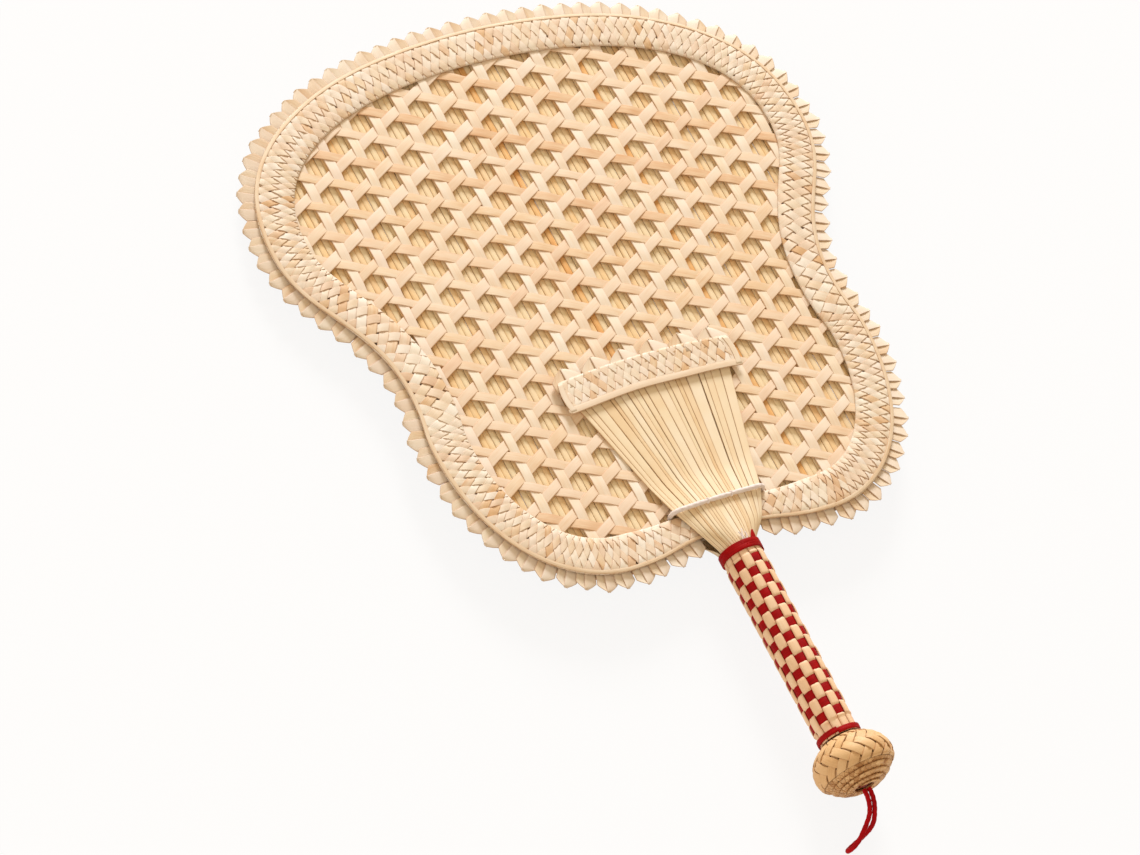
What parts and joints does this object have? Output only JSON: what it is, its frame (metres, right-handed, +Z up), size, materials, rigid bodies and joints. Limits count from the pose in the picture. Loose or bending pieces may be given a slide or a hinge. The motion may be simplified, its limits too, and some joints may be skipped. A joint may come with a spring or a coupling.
{
  "type": "hand fan",
  "caption": "Hand fan plaited from flat straw: openwork woven leaf with plaited toothed border, splayed ribs, woven handle with red binding, round plaited pommel and red cord loop",
  "frame": {"origin": "bottom centre of the box of the fan lying on its back, the cord loop not counted", "axes": "+Y from the handle to the top of the leaf, +Z up, out of the front face, +X to the right as the front is seen with the handle towards the viewer"},
  "size_m": [0.27, 0.398, 0.034],
  "materials": {
    "leaf_straw": "dry satin straw",
    "golden_straw": "glossy split straw",
    "tan_straw": "dry plaited straw",
    "red_strip": "dyed flat strip",
    "white_thread": "twisted thread",
    "red_cord": "soft twisted cord"
  },
  "bodies": {
    "fan": {"front_border_braid": "leaf_straw", "back_border_braid": "leaf_straw", "front_cap_braid": "leaf_straw", "back_cap_braid": "leaf_straw", "front_rib_01": "golden_straw", "back_rib_01": "golden_straw", "front_rib_02": "golden_straw", "back_rib_02": "golden_straw", "front_rib_03": "golden_straw", "back_rib_03": "golden_straw", "front_rib_04": "golden_straw", "back_rib_04": "golden_straw", "front_rib_05": "golden_straw", "back_rib_05": "golden_straw", "front_rib_06": "golden_straw", "back_rib_06": "golden_straw", "front_rib_07": "golden_straw", "back_rib_07": "golden_straw", "front_rib_08": "golden_straw", "back_rib_08": "golden_straw", "front_rib_09": "golden_straw", "back_rib_09": "golden_straw", "front_rib_10": "golden_straw", "back_rib_10": "golden_straw", "front_rib_11": "golden_straw", "back_rib_11": "golden_straw", "front_rib_12": "golden_straw", "back_rib_12": "golden_straw", "front_rib_13": "golden_straw", "back_rib_13": "golden_straw", "front_rib_14": "golden_straw", "back_rib_14": "golden_straw", "front_weave": "leaf_straw", "back_weave": "leaf_straw", "leaf_lining": "golden_straw", "picot_edging": "leaf_straw", "tie_thread": "white_thread", "handle_core": "golden_straw", "red_collar": "red_strip", "red_weft": "red_strip", "red_end_ring": "red_strip", "pommel_core": "tan_straw", "pommel_band": "tan_straw", "pommel_coil": "tan_straw", "loop_knot": "red_cord", "handle_straw_01": "golden_straw", "handle_straw_02": "golden_straw", "handle_straw_03": "golden_straw", "handle_straw_04": "golden_straw", "handle_straw_05": "golden_straw", "handle_straw_06": "golden_straw", "handle_straw_07": "golden_straw", "handle_straw_08": "golden_straw", "handle_straw_09": "golden_straw", "handle_straw_10": "golden_straw", "handle_straw_11": "golden_straw", "handle_straw_12": "golden_straw", "handle_straw_13": "golden_straw"},
    "loop": {"hanging_loop": "red_cord"}
  },
  "joints": [
    {"name": "loop_swing", "type": "hinge", "parent": "fan", "child": "loop", "pos_m": [0, -0.1892, 0.01742], "axis": [1, 0, 0], "range_deg": [-60, 30]}
  ]
}
